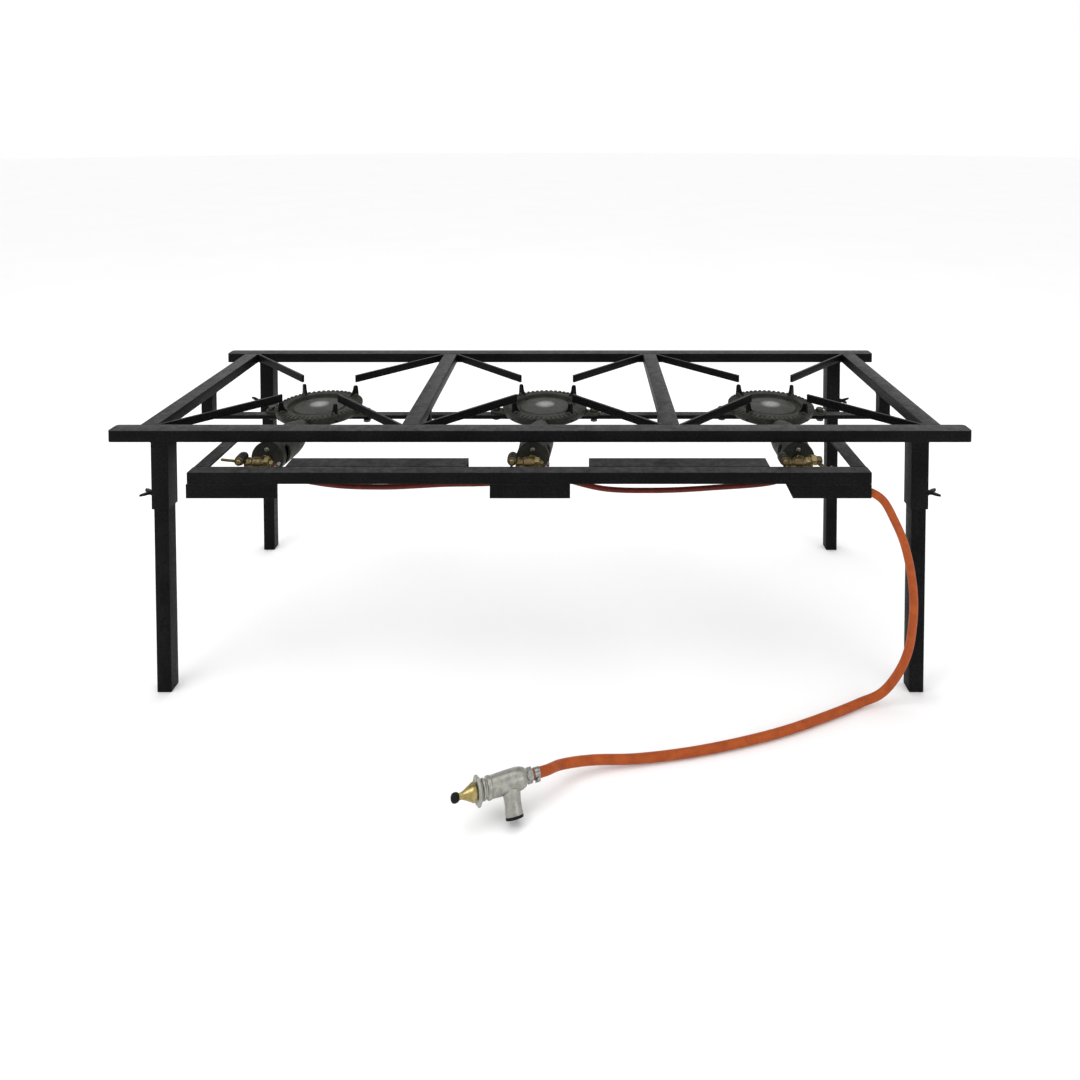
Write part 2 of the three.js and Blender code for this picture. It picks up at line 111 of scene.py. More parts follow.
add_camera()
add_world((1.0, 1.0, 1.0), 1.0)
add_area_light("key", (-1.6, -1.4, 2.6), (0, 0, 0.3), (1.6, 1.6), 22)
add_area_light("top", (0.2, 0.5, 2.8), (0, 0, 0.3), (2.6, 1.4), 16)
add_area_light("fill", (2.2, -1.8, 1.4), (0.1, 0, 0.3), (1.4, 1.4), 8)
bpy.context.scene.view_settings.view_transform = "Standard"


# ---------------------------------------------------------------- mesh building
def add_faces(bm, rings, material=0, closed_profile=False):
    """Quads between successive rings of vertices; a ring of one vertex is a pole."""
    pairs = list(zip(rings, rings[1:]))
    if closed_profile:
        pairs.append((rings[-1], rings[0]))
    for low, high in pairs:
        count = max(len(low), len(high))
        for i in range(count):
            j = (i + 1) % count
            corners = [low[i % len(low)], low[j % len(low)], high[j % len(high)], high[i % len(high)]]
            unique = list(dict.fromkeys(corners))
            if len(unique) >= 3:
                bm.faces.new(unique).material_index = material


def add_lathe(bm, profile, sides, matrix=Matrix(), material=0, closed=False, shape=None):
    """A surface of revolution about local +Z from (radius, z) pairs. shape(r, z, angle) bends it."""
    rings = []
    for radius, z in profile:
        if radius < 1e-6:
            rings.append([bm.verts.new(matrix @ Vector((0, 0, z)))])
            continue
        ring = []
        for i in range(sides):
            angle = 2 * math.pi * i / sides
            r, height = shape(radius, z, angle) if shape else (radius, z)
            ring.append(bm.verts.new(matrix @ Vector((r * math.cos(angle), r * math.sin(angle), height))))
        rings.append(ring)
    add_faces(bm, rings, material, closed)


def add_prism(bm, outline, low, high, matrix):
    """A polygon in the local XY plane, extruded from z = low to z = high."""
    bottom = [bm.verts.new(matrix @ Vector((x, y, low))) for x, y in outline]
    top = [bm.verts.new(matrix @ Vector((x, y, high))) for x, y in outline]
    bm.faces.new(bottom[::-1])
    bm.faces.new(top)
    for i in range(len(outline)):
        j = (i + 1) % len(outline)
        bm.faces.new([bottom[i], bottom[j], top[j], top[i]])


def add_tube(bm, points, radius, sides):
    """A round capped tube along points. radius is a number, or a function of the distance along."""
    tangents = []
    for i in range(len(points)):
        before, after = points[max(i - 1, 0)], points[min(i + 1, len(points) - 1)]
        tangents.append((after - before).normalized())
    normal = tangents[0].orthogonal().normalized()
    rings = []
    travelled = 0.0
    for i, (point, tangent) in enumerate(zip(points, tangents)):
        if i:
            travelled += (point - points[i - 1]).length
            normal = (normal - tangent * normal.dot(tangent)).normalized()
        side = tangent.cross(normal)
        r = radius(travelled) if callable(radius) else radius
        ring = []
        for k in range(sides):
            angle = 2 * math.pi * k / sides
            ring.append(bm.verts.new(point + (normal * math.cos(angle) + side * math.sin(angle)) * r))
        rings.append(ring)
    add_faces(bm, rings)
    bm.faces.new(rings[0][::-1])
    bm.faces.new(rings[-1])


def smooth_by_angle(bm, degrees):
    for face in bm.faces:
        face.smooth = True
    limit = math.radians(degrees)
    for edge in bm.edges:
        edge.smooth = not (len(edge.link_faces) == 2 and edge.calc_face_angle(0) > limit)


def close_up(bm):
    """Joins points that coincide and turns every face outwards."""
    bmesh.ops.remove_doubles(bm, verts=bm.verts, dist=1e-4)
    bmesh.ops.recalc_face_normals(bm, faces=bm.faces)


def piece(name, bm, materials, body=FRAME_BODY, matrix=TABLE, sharp=35, *, slot):
    """Turns a mesh built in millimetres into an object that rides on a CAD body."""
    close_up(bm)
    bm.transform(Matrix.Scale(MM, 4) @ matrix)
    smooth_by_angle(bm, sharp)
    mesh = bpy.data.meshes.new(name)
    bm.to_mesh(mesh)
    bm.free()
    for material in materials:
        mesh.materials.append(material)
    obj = bpy.data.objects.new(name, mesh)
    bpy.context.scene.collection.objects.link(obj)
    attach(obj, body)
    return obj


def axis_frame(origin, direction, up=Vector((0, 0, 1))):
    """A frame whose +Z runs along direction, for lathes and prisms."""
    z = Vector(direction).normalized()
    x = up.cross(z)
    x = x.normalized() if x.length > 1e-4 else Vector((1, 0, 0))
    y = z.cross(x)
    rotation = Matrix((x, y, z)).transposed().to_4x4()
    return Matrix.Translation(origin) @ rotation


def catmull_rom(points, per_span):
    """The centripetal curve through points, which is the one the CAD hoses follow."""
    first = points[0] * 2 - points[1]
    last = points[-1] * 2 - points[-2]
    padded = [first, *points, last]
    result = []
    for i in range(1, len(padded) - 2):
        p0, p1, p2, p3 = padded[i - 1:i + 3]
        t01 = max((p1 - p0).length ** 0.5, 1e-4)
        t12 = max((p2 - p1).length ** 0.5, 1e-4)
        t23 = max((p3 - p2).length ** 0.5, 1e-4)
        m1 = ((p1 - p0) / t01 - (p2 - p0) / (t01 + t12) + (p2 - p1) / t12) * t12
        m2 = ((p2 - p1) / t12 - (p3 - p1) / (t12 + t23) + (p3 - p2) / t23) * t12
        for step in range(per_span):
            t = step / per_span
            a = 2 * t ** 3 - 3 * t ** 2 + 1
            b = t ** 3 - 2 * t ** 2 + t
            c = -2 * t ** 3 + 3 * t ** 2
            d = t ** 3 - t ** 2
            result.append(p1 * a + m1 * b + p2 * c + m2 * d)
    result.append(points[-1].copy())
    return result


def hexagon(across_flats, turn):
    radius = across_flats / 2 / math.cos(math.pi / 6)
    angles = [turn + math.pi / 3 * i for i in range(6)]
    return [(radius * math.cos(a), radius * math.sin(a)) for a in angles]


# ---------------------------------------------------------------- materials
class Finish:
    """A small helper that builds one procedural material."""

    def __init__(self, name, metallic=0.0, specular=0.5):
        self.material = bpy.data.materials.new(name)
        self.material.use_nodes = True
        self.tree = self.material.node_tree
        self.shader = self.tree.nodes["Principled BSDF"]
        self.shader.inputs["Metallic"].default_value = metallic
        self.shader.inputs["Specular IOR Level"].default_value = specular
        self.place = self.tree.nodes.new("ShaderNodeTexCoord").outputs["Object"]

    def noise(self, scale, detail, rough=0.55):
        node = self.tree.nodes.new("ShaderNodeTexNoise")
        node.inputs["Scale"].default_value = scale
        node.inputs["Detail"].default_value = detail
        node.inputs["Roughness"].default_value = rough
        self.tree.links.new(self.place, node.inputs["Vector"])
        return node.outputs["Fac"]

    def ramp(self, value, stops):
        node = self.tree.nodes.new("ShaderNodeValToRGB")
        ramp = node.color_ramp
        while len(ramp.elements) < len(stops):
            ramp.elements.new(0.5)
        for element, (position, colour) in zip(ramp.elements, stops):
            element.position = position
            element.color = (*colour, 1)
        self.tree.links.new(value, node.inputs["Fac"])
        return node.outputs["Color"]

    def grade(self, value, low, high, out_low, out_high):
        """Maps value from low..high to out_low..out_high."""
        node = self.tree.nodes.new("ShaderNodeMapRange")
        limits = {"From Min": low, "From Max": high, "To Min": out_low, "To Max": out_high}
        for name, number in limits.items():
            node.inputs[name].default_value = number
        self.tree.links.new(value, node.inputs["Value"])
        return node.outputs["Result"]

    def blotched(self, dark, light, *noise):
        """A colour that wanders between two, with a noise's scale, detail and roughness."""
        return self.ramp(self.noise(*noise), [(0.3, dark), (0.7, light)])

    def roughness(self, low, high, *noise):
        """Sets a roughness that wanders between two values, with a noise as in blotched."""
        self.set("Roughness", self.grade(self.noise(*noise), 0.3, 0.7, low, high))

    def mix(self, factor, under, over, blend="MIX"):
        node = self.tree.nodes.new("ShaderNodeMix")
        node.data_type = "RGBA"
        node.blend_type = blend
        for socket, value in ((node.inputs[0], factor), (node.inputs[6], under), (node.inputs[7], over)):
            if isinstance(value, bpy.types.NodeSocket):
                self.tree.links.new(value, socket)
            elif isinstance(value, tuple):
                socket.default_value = (*value, 1)
            else:
                socket.default_value = value
        return node.outputs[2]

    def multiply(self, a, b):
        node = self.tree.nodes.new("ShaderNodeMath")
        node.operation = "MULTIPLY"
        for socket, value in zip(node.inputs, (a, b)):
            if isinstance(value, bpy.types.NodeSocket):
                self.tree.links.new(value, socket)
            else:
                socket.default_value = value
        return node.outputs[0]

    def edges(self, low, high):
        """1 on convex edges, 0 elsewhere."""
        geometry = self.tree.nodes.new("ShaderNodeNewGeometry")
        return self.grade(geometry.outputs["Pointiness"], low, high, 0.0, 1.0)

    def height(self, low, high):
        """0 below the first height and 1 above the second, in millimetres above the floor."""
        parts = self.tree.nodes.new("ShaderNodeSeparateXYZ")
        self.tree.links.new(self.place, parts.inputs[0])
        return self.grade(parts.outputs["Z"], low * MM, high * MM, 0.0, 1.0)

    def facing_up(self):
        """1 on faces that look up, 0 on upright ones."""
        geometry = self.tree.nodes.new("ShaderNodeNewGeometry")
        parts = self.tree.nodes.new("ShaderNodeSeparateXYZ")
        self.tree.links.new(geometry.outputs["Normal"], parts.inputs[0])
        return self.grade(parts.outputs["Z"], 0.6, 0.98, 0.0, 1.0)

    def bump(self, *layers):
        """Each layer is (height, strength, distance in millimetres)."""
        normal = None
        for height, strength, distance in layers:
            node = self.tree.nodes.new("ShaderNodeBump")
            node.inputs["Strength"].default_value = strength
            node.inputs["Distance"].default_value = distance * MM
            self.tree.links.new(height, node.inputs["Height"])
            if normal:
                self.tree.links.new(normal, node.inputs["Normal"])
            normal = node.outputs["Normal"]
        self.tree.links.new(normal, self.shader.inputs["Normal"])

    def set(self, socket, value):
        if isinstance(value, bpy.types.NodeSocket):
            self.tree.links.new(value, self.shader.inputs[socket])
        elif isinstance(value, tuple):
            self.shader.inputs[socket].default_value = (*value, 1)
        else:
            self.shader.inputs[socket].default_value = value


def satin_black_paint():
    f = Finish("satin_black_paint", specular=0.05)
    broad = f.ramp(f.noise(14, 3), [(0.35, (0.0032, 0.0032, 0.0035)), (0.65, (0.0055, 0.0055, 0.0059))])
    mottle = f.ramp(f.noise(260, 5, 0.7), [(0.42, (0.55, 0.55, 0.56)), (0.62, (1.6, 1.6, 1.62))])
    colour = f.mix(1.0, broad, mottle, "MULTIPLY")
    # Faces that look up are painted a lighter grey in noisy patches: partly dust, partly a painted sheen that
    # makes the tops lighter than the upright faces.
    dust_and_sheen_patch = f.grade(f.noise(70, 5, 0.65), 0.35, 0.7, 0.35, 1.0)
    dust_and_top_sheen = f.multiply(f.facing_up(), dust_and_sheen_patch)
    colour = f.mix(f.multiply(dust_and_top_sheen, 0.5), colour, (0.1, 0.1, 0.098))
    f.set("Base Color", colour)
    f.roughness(0.36, 0.56, 180, 4, 0.6)
    f.bump((f.noise(900, 2), 0.25, 0.12), (f.noise(160, 3), 0.2, 0.25))
    return f.material


def cast_iron():
    f = Finish("cast_iron", metallic=0.25, specular=0.22)
    base = f.blotched((0.011, 0.0112, 0.0086), (0.026, 0.0262, 0.0205), 60, 5, 0.65)
    speck = f.ramp(f.noise(700, 3, 0.6), [(0.4, (0.7, 0.7, 0.68)), (0.65, (1.35, 1.33, 1.28))])
    colour = f.mix(1.0, base, speck, "MULTIPLY")
    rust = f.grade(f.noise(38, 6, 0.7), 0.56, 0.72, 0.0, 0.35)
    colour = f.mix(rust, colour, (0.065, 0.034, 0.016))
    worn = f.multiply(f.edges(0.52, 0.64), 0.5)
    colour = f.mix(worn, colour, (0.075, 0.074, 0.06))
    f.set("Base Color", colour)
    f.roughness(0.48, 0.72, 140, 4)
    f.bump((f.noise(1100, 3, 0.7), 0.45, 0.22), (f.noise(240, 4), 0.35, 0.5))
    return f.material


def machined_iron():
    f = Finish("machined_iron", metallic=0.2, specular=0.25)
    base = f.blotched((0.015, 0.0152, 0.0125), (0.034, 0.0345, 0.029), 45, 4)
    # The disc's domed middle is painted lighter: a painted highlight, standing in for a lamp's reflection on
    # its crown.
    middle = f.height(PAN_TOP - 0.6, PAN_TOP - 0.02)      # the disc is domed, so its middle is highest
    painted_highlight = f.multiply(middle, f.grade(f.noise(120, 4), 0.3, 0.6, 0.6, 1.0))
    f.set("Base Color", f.mix(painted_highlight, base, (0.26, 0.265, 0.245)))
    f.roughness(0.42, 0.6, 220, 3)
    f.bump((f.noise(1300, 3, 0.6), 0.3, 0.12))
    return f.material


def antique_brass():
    f = Finish("antique_brass", metallic=0.9, specular=0.5)
    base = f.blotched((0.085, 0.062, 0.027), (0.22, 0.165, 0.07), 130, 5, 0.6)
    tarnish = f.grade(f.noise(75, 5, 0.65), 0.45, 0.7, 0.0, 0.75)
    colour = f.mix(tarnish, base, (0.036, 0.029, 0.018))
    worn = f.multiply(f.edges(0.52, 0.62), 0.4)
    colour = f.mix(worn, colour, (0.5, 0.39, 0.2))
    f.set("Base Color", colour)
    f.roughness(0.26, 0.5, 300, 3)
    f.bump((f.noise(1500, 2), 0.2, 0.08))
    return f.material


def bright_brass():
    f = Finish("bright_brass", metallic=0.95, specular=0.5)
    base = f.blotched((0.25, 0.19, 0.065), (0.44, 0.36, 0.16), 160, 4)
    f.set("Base Color", base)
    f.roughness(0.2, 0.4, 420, 3)
    f.bump((f.noise(1800, 2), 0.15, 0.06))
    return f.material


def die_cast_zinc():
    f = Finish("die_cast_zinc", metallic=0.85, specular=0.5)
    base = f.blotched((0.22, 0.22, 0.195), (0.4, 0.395, 0.36), 110, 4, 0.6)
    grime = f.grade(f.noise(55, 5, 0.6), 0.55, 0.75, 0.0, 0.4)
    colour = f.mix(grime, base, (0.11, 0.118, 0.088))
    f.set("Base Color", colour)
    f.roughness(0.28, 0.48, 320, 3)
    f.bump((f.noise(1400, 3), 0.25, 0.1))
    return f.material


def plated_steel():
    f = Finish("plated_steel", metallic=0.9, specular=0.5)
    base = f.blotched((0.15, 0.15, 0.145), (0.36, 0.36, 0.34), 200, 4)
    f.set("Base Color", base)
    f.roughness(0.22, 0.42, 500, 3)
    f.bump((f.noise(1800, 2), 0.15, 0.06))
    return f.material


def dark_steel():
    f = Finish("dark_steel", metallic=0.6, specular=0.3)
    base = f.blotched((0.009, 0.009, 0.0085), (0.026, 0.025, 0.022), 150, 4)
    worn = f.multiply(f.edges(0.52, 0.62), 0.6)
    f.set("Base Color", f.mix(worn, base, (0.09, 0.08, 0.06)))
    f.roughness(0.34, 0.55, 380, 3)
    f.bump((f.noise(1200, 3), 0.2, 0.1))
    return f.material


def passivated_steel():
    f = Finish("passivated_steel", metallic=0.8, specular=0.4)
    base = f.blotched((0.06, 0.045, 0.02), (0.15, 0.115, 0.05), 150, 4)
    f.set("Base Color", base)
    f.roughness(0.3, 0.5, 380, 3)
    f.bump((f.noise(1400, 3), 0.2, 0.1))
    return f.material


def hose_rubber(name, deep, bright, roughness):
    f = Finish(name, specular=0.2)
    base = f.blotched(deep, bright, 55, 4, 0.6)
    scuff = f.grade(f.noise(420, 4, 0.7), 0.58, 0.74, 0.0, 0.35)
    scuffed = tuple(channel * 1.5 + 0.02 for channel in bright)
    f.set("Base Color", f.mix(scuff, base, scuffed))
    f.roughness(roughness - 0.08, roughness + 0.1, 200, 3)
    f.bump((f.noise(1600, 2), 0.2, 0.1), (f.noise(260, 2), 0.15, 0.15))
    return f.material


def black_rubber():
    f = Finish("black_rubber", specular=0.12)
    f.set("Base Color", f.blotched((0.003, 0.003, 0.003), (0.008, 0.008, 0.008), 300, 4))
    f.roughness(0.42, 0.62, 300, 3)
    f.bump((f.noise(1500, 2), 0.2, 0.1))
    return f.material


def pale_floor():
    f = Finish("pale_floor", specular=0.2)
    f.set("Base Color", f.blotched((0.955, 0.955, 0.955), (0.97, 0.97, 0.97), 1.5, 2))
    f.set("Roughness", 0.85)
    return f.material


PAINT = satin_black_paint()
IRON = cast_iron()
MACHINED = machined_iron()
BRASS = antique_brass()
BRIGHT_BRASS = bright_brass()
ZINC = die_cast_zinc()
PLATED = plated_steel()
DARK_STEEL = dark_steel()
PASSIVATED = passivated_steel()
ORANGE = hose_rubber("orange_hose", (0.26, 0.045, 0.006), (0.39, 0.077, 0.011), 0.5)
DARK_RED = hose_rubber("dark_red_hose", (0.06, 0.005, 0.002), (0.13, 0.014, 0.005), 0.55)
BLACK_RUBBER = black_rubber()


def add_floor():
    bm = bmesh.new()
    bmesh.ops.create_circle(bm, cap_ends=True, radius=30, segments=64)
    mesh = bpy.data.meshes.new("floor")
    bm.to_mesh(mesh)
    bm.free()
    mesh.materials.append(pale_floor())
    floor = bpy.data.objects.new("floor", mesh)
    floor.location.z = -0.6 * MM
    bpy.context.scene.collection.objects.link(floor)


add_floor()

# ---------------------------------------------------------------- hose nozzles
# each is x, z, angle and length, from the cock's own centre
INLET = (12.0, 0.0, math.radians(-35), 26.0)
OUTLET = (-12.0, -6.0, math.radians(-140), 26.0)
SUPPLY_INLET = (24.0, 5.0, math.radians(-45), 36.0)
MOUTH_X = [x + MIXER_FRONT * math.sin(-yaw) for x, yaw in zip(BURNER_X, YAW)]


def port_point(bay, port, reach):
    """A point on a nozzle's axis, at a distance from its root."""
    x, z, angle, _ = port
    return Vector((MOUTH_X[bay] + x + reach * math.cos(angle), COCK_Y, COCK_Z + z + reach * math.sin(angle)))


# ---------------------------------------------------------------- regulator's own frame
# stations are millimetres along its axis, from the nose's tip
WHEEL_STATION = 39.0
BRANCH_STATION = 88.0
BRANCH_DIP = math.radians(55)
TAIL_STATION = 132.0
REGULATOR_PLACE = (
    TABLE
    @ Matrix.Translation((-76.2, -509.4, 46.6))
    @ Matrix.Rotation(math.radians(24), 4, "Z")
    @ Matrix.Rotation(math.radians(2.8), 4, "Y")
    @ Matrix.Translation((-WHEEL_STATION, 0, 0))
)
ALONG_X = Matrix.Rotation(math.pi / 2, 4, "Y")      # takes a lathe's +Z to +X


def regulator_point(station):
    """A point on the regulator's axis, in the table's frame."""
    return TABLE.inverted() @ (REGULATOR_PLACE @ Vector((station, 0, 0)))


# ---------------------------------------------------------------- supply hose
HOSE_RADIUS = 7.0
HOSE_ROUTE = [
    (524, -264, 374.2), (545, -276, 374.6), (565, -283.5, 371.5),
    (582, -286, 360), (602, -286, 325), (618, -286, 288), (630, -286, 240),
    (636, -286, 190), (635, -286, 148), (628, -285, 98), (610, -284, 56),
    (584, -282, 23), (550, -284, 9), (500, -306, 7.5), (404, -346, 7.4),
    (317, -373, 7.4), (235, -392, 7.4), (155, -406, 9.5), (85, -421, 19.5), (40.5, -441, 29),
]


def supply_hose():
    start = [port_point(2, SUPPLY_INLET, SUPPLY_INLET[3] + extra) for extra in (GAP, 9)]
    end = [regulator_point(TAIL_STATION + 12), regulator_point(TAIL_STATION)]
    line = catmull_rom([*start, *(Vector(p) for p in HOSE_ROUTE), *end], 12)
    # both ends are carried on over their fittings
    line.insert(0, port_point(2, SUPPLY_INLET, 26))
    line.append(regulator_point(TAIL_STATION - 9))
    bm = bmesh.new()
    add_tube(bm, line, HOSE_RADIUS, 24)
    obj = piece("supply_hose_rubber", bm, [ORANGE], slot="supply_hose_rubber")
    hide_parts("supply_hose")
    path = [TABLE @ p * MM for p in line]
    length = sum((b - a).length for a, b in zip(path, path[1:]))
    return obj, path, length


hose, hose_path, hose_length = supply_hose()
print("supply hose length", round(hose_length, 4))


# ---------------------------------------------------------------- painted frame
TUBE_EDGE = 1.6
SOCKET_EDGE = 1.5
LEG_EDGE = 1.4
PLATE_EDGE = 0.6


def finish_cad_node(name, edge_radius):
    """Paints a CAD node and rolls its edges, by modifiers only."""
    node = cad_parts[name]
    weld = node.modifiers.new("weld", "WELD")
    weld.merge_threshold = 1e-5
    flat = node.modifiers.new("flat_faces", "DECIMATE")
    flat.decimate_type = "DISSOLVE"
    flat.angle_limit = math.radians(1)
    bevel = node.modifiers.new("edge_radius", "BEVEL")
    bevel.width = edge_radius * MM
    bevel.segments = 3
    bevel.limit_method = "ANGLE"
    bevel.angle_limit = math.radians(35)
    bevel.use_clamp_overlap = True
    bevel.harden_normals = True
    node.data.materials.clear()
    node.data.materials.append(PAINT)
    for polygon in node.data.polygons:
        polygon.use_smooth = True


for tube in ("front_rail", "rear_rail", "control_rail"):
    finish_cad_node(tube, TUBE_EDGE)
for place in ("left", "mid_left", "mid_right", "right"):
    finish_cad_node(f"cross_rail_{place}", TUBE_EDGE)
for side in ("left", "right"):
    finish_cad_node(f"bar_hanger_{side}", TUBE_EDGE)
    finish_cad_node(f"control_hanger_{side}", TUBE_EDGE)
    finish_cad_node(f"control_side_bar_{side}", PLATE_EDGE)
    finish_cad_node(f"heat_shield_{side}", PLATE_EDGE)
finish_cad_node("burner_bar", PLATE_EDGE)
finish_cad_node("control_back_bar", PLATE_EDGE)
for corner in CORNERS:
    finish_cad_node(f"leg_socket_{corner}", SOCKET_EDGE)
    finish_cad_node(f"leg_{corner}", LEG_EDGE)
for bay in BAYS:
    finish_cad_node(f"cock_guard_{bay}", PLATE_EDGE)
    for corner in CORNERS:
        finish_cad_node(f"pot_arm_{bay}_{corner}", PLATE_EDGE)

# ---------------------------------------------------------------- burners
TEETH = 54
GROOVE_DEPTH = 2.4
EAR_X = 100
# faces of the pan's machined disc lie above this height and inside this radius
DISC_LOW = PAN_TOP - 4
DISC_RADIUS = 49
TO_COOK = Matrix.Rotation(math.pi / 2, 4, "X")       # takes a lathe's +Z to -Y


def smooth_step(value, low, high):
    """0 below low, 1 above high, and eased in between."""
    t = min(max((value - low) / (high - low), 0.0), 1.0)
    return t * t * (3 - 2 * t)


def crown_teeth(radius, z, angle):
    """Radial grooves across the outer half of the ring, open at its rim."""
    if radius < 70:
        return radius, z
    phase = angle * TEETH / (2 * math.pi) % 1.0
    groove = smooth_step(phase, 0.25, 0.42) * (1 - smooth_step(phase, 0.62, 0.8))
    return radius, min(z, PAN_TOP - GROOVE_DEPTH * groove * smooth_step(radius, 72, 77))


def offset_outline(outline, distance):
    """The outline moved inwards by distance, for a chamfer. Counter-clockwise outlines shrink."""
    result = []
    for i, (x, y) in enumerate(outline):
        before = Vector(outline[i - 1])
        after = Vector(outline[(i + 1) % len(outline)])
        here = Vector((x, y))
        d1 = (here - before).normalized()
        d2 = (after - here).normalized()
        inward = Vector((-d1.y - d2.y, d1.x + d2.x))
        inward = inward.normalized() if inward.length > 1e-6 else Vector((-d1.y, d1.x))
        square = max(0.35, inward.dot(Vector((-d1.y, d1.x))))
        result.append(tuple(here + inward * distance / square))
    return result


def add_plate(bm, outline, low, high, chamfer, matrix=Matrix(), material=0):
    """A flat plate with chamfered rims. The outline runs counter-clockwise."""
    small = offset_outline(outline, chamfer)
    levels = [(small, low), (outline, low + chamfer), (outline, high - chamfer), (small, high)]
    rings = [[bm.verts.new(matrix @ Vector((x, y, z))) for x, y in shape] for shape, z in levels]
    add_faces(bm, rings, material)
    bm.faces.new(rings[0][::-1]).material_index = material
    bm.faces.new(rings[-1]).material_index = material


def arc(cx, cy, radius, start, end, steps):
    """Points on an arc, angles in degrees, both ends included."""
    angles = [math.radians(start + (end - start) * i / steps) for i in range(steps + 1)]
    return [(cx + radius * math.cos(a), cy + radius * math.sin(a)) for a in angles]


def temporary_object(bm):
    close_up(bm)
    mesh = bpy.data.meshes.new("temporary")
    bm.to_mesh(mesh)
    bm.free()
    obj = bpy.data.objects.new("temporary", mesh)
    bpy.context.scene.collection.objects.link(obj)
    return obj


def carve(solid, cutters):
    """The solid with every cutter taken away, as a new bmesh."""
    base = temporary_object(solid)
    tools = [temporary_object(cutter) for cutter in cutters]
    for tool in tools:
        cut = base.modifiers.new("cut", "BOOLEAN")
        cut.operation = "DIFFERENCE"
        cut.solver = "EXACT"
        cut.object = tool
    evaluated = base.evaluated_get(bpy.context.evaluated_depsgraph_get())
    result = bmesh.new()
    result.from_mesh(evaluated.to_mesh())
    evaluated.to_mesh_clear()
    for obj in (base, *tools):
        bpy.data.objects.remove(obj)
    return result


def rounded_profile(points, radius):
    """A lathe profile with every corner between its ends rounded by a small curve."""
    steps = 3
    result = [points[0]]
    for before, here, after in zip(points, points[1:], points[2:]):
        a, b, c = Vector(before), Vector(here), Vector(after)
        reach = min(radius, (a - b).length / 2.2, (c - b).length / 2.2)
        start = b + (a - b).normalized() * reach
        end = b + (c - b).normalized() * reach
        for i in range(steps + 1):
            t = i / steps
            result.append(tuple(start * (1 - t) ** 2 + b * 2 * t * (1 - t) + end * t ** 2))
    result.append(points[-1])
    return result


# The points from 69 to 83.5 are close together, so that crown_teeth can cut its grooves.
PAN_PROFILE = [
    (0, 405), (40, 405), (66, 405), (74, 405.4), (78.5, 406.6), (81.5, 409), (83.6, 413), (85, 418),
    (85.8, 422), (85.9, 424.2), (85.2, 425), (83.5, 425), (78, 425), (75, 425), (72, 425), (69, 425),
    (66, 425), (63.6, 425), (62.6, 424.6), (62, 423.6), (61.3, 420.5), (60.3, 418.4), (58.5, 417.8),
    (54, 417.8), (52, 418), (51, 419.4), (50, 420.6), (48.6, 421.1), (44, 421.9), (38, 422.8), (28, 423.9),
    (18, 424.6), (9, 424.95), (0, 425),
]
# Lug outlines are pairs of distance from the pan's axis and height above its top.
LUG = [(58, -6), (84.5, -14), (84.5, 2), (83.2, 17), (82.4, 19.6), (81, 21), (76.4, 21), (74.9, 19.8),
       (74.2, 17), (73, 11), (70, 5.6), (66, 1)]
LUG_ROOT = [(60, -5), (84.5, -10), (84.8, 1), (82, 4.5), (77, 5), (72, 3), (66, 0)]
# Mixing tube profiles are pairs of radius and distance from the pan's axis towards the cook.
MIXER_OUTSIDE = [(0, 22), (6, 24), (10.5, 34), (10.5, 60), (17, 86), (24, 112), (29, 134), (30.4, 148),
                 (30.4, 163), (28.8, 216), (28.5, 222), (29.6, 223.5), (29.6, 228), (0, 228)]
MIXER_BORE = [(0, 60), (6.5, 62), (13, 88), (25, 138), (25, 224), (0, 224)]


def add_hex(bm, across_flats, low, high, matrix, material=0, turn=0.0):
    add_plate(bm, hexagon(across_flats, turn), low, high, 0.6, matrix, material)


def mixing_tube():
    """The tube's casting: hollow, with four air windows behind its front wall."""
    along = Matrix.Translation((0, 0, MIXER_Z)) @ TO_COOK
    outside = bmesh.new()
    add_lathe(outside, rounded_profile(MIXER_OUTSIDE, 3), 64, along)
    bore = bmesh.new()
    add_lathe(bore, MIXER_BORE, 64, along)
    cutters = [bore]
    for turn in range(2):
        window = bmesh.new()
        slot = [*arc(9, 0, 8, -90, 90, 10), *arc(-9, 0, 8, 90, 270, 10)]
        tip = Matrix.Rotation(turn * math.pi / 2, 4, "Y")
        place = Matrix.Translation((0, MIXER_FRONT + 22, MIXER_Z)) @ tip
        add_prism(window, slot, -40, 40, place)
        cutters.append(window)
    return carve(outside, cutters)


def add_lugs(bm):
    for degrees in (45, 135, 225, 315):
        upright = Matrix.Rotation(math.radians(degrees), 4, "Z") @ Matrix.Rotation(math.pi / 2, 4, "X")
        upright = Matrix.Translation((0, 0, PAN_TOP)) @ upright
        add_plate(bm, LUG, -2.8, 2.8, 0.8, upright, material=2)
        add_plate(bm, LUG_ROOT, -4.6, 4.6, 2.2, upright)


def add_ears(bm):
    reach, half = EAR_X, 12
    outline = [(76, -14), (86, -12.5), (reach, -half), *arc(reach, 0, half, -90, 90, 12)[1:],
               (86, 12.5), (76, 14)]
    rib = [(74, 0), (92, 0), (84, 9), (76, 13)]
    for degrees in (0, 180):
        turn = Matrix.Rotation(math.radians(degrees), 4, "Z")
        add_plate(bm, outline, PAN_BOTTOM, PAN_BOTTOM + 6, 1.0, turn)
        upright = turn @ Matrix.Translation((0, 0, PAN_BOTTOM + 4)) @ Matrix.Rotation(math.pi / 2, 4, "X")
        add_plate(bm, rib, -2.5, 2.5, 0.8, upright)


def burner_casting(bay, place):
    bm = mixing_tube()
    add_lathe(bm, PAN_PROFILE, TEETH * 8, shape=crown_teeth)
    for face in bm.faces:
        centre = face.calc_center_median()
        if centre.z > DISC_LOW and math.hypot(centre.x, centre.y) < DISC_RADIUS:
            face.material_index = 1
    add_lugs(bm)
    add_ears(bm)
    obj = piece(f"burner_{bay}_casting", bm, [IRON, MACHINED, PAINT], matrix=place, slot="cast_iron")
    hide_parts(f"burner_{bay}")


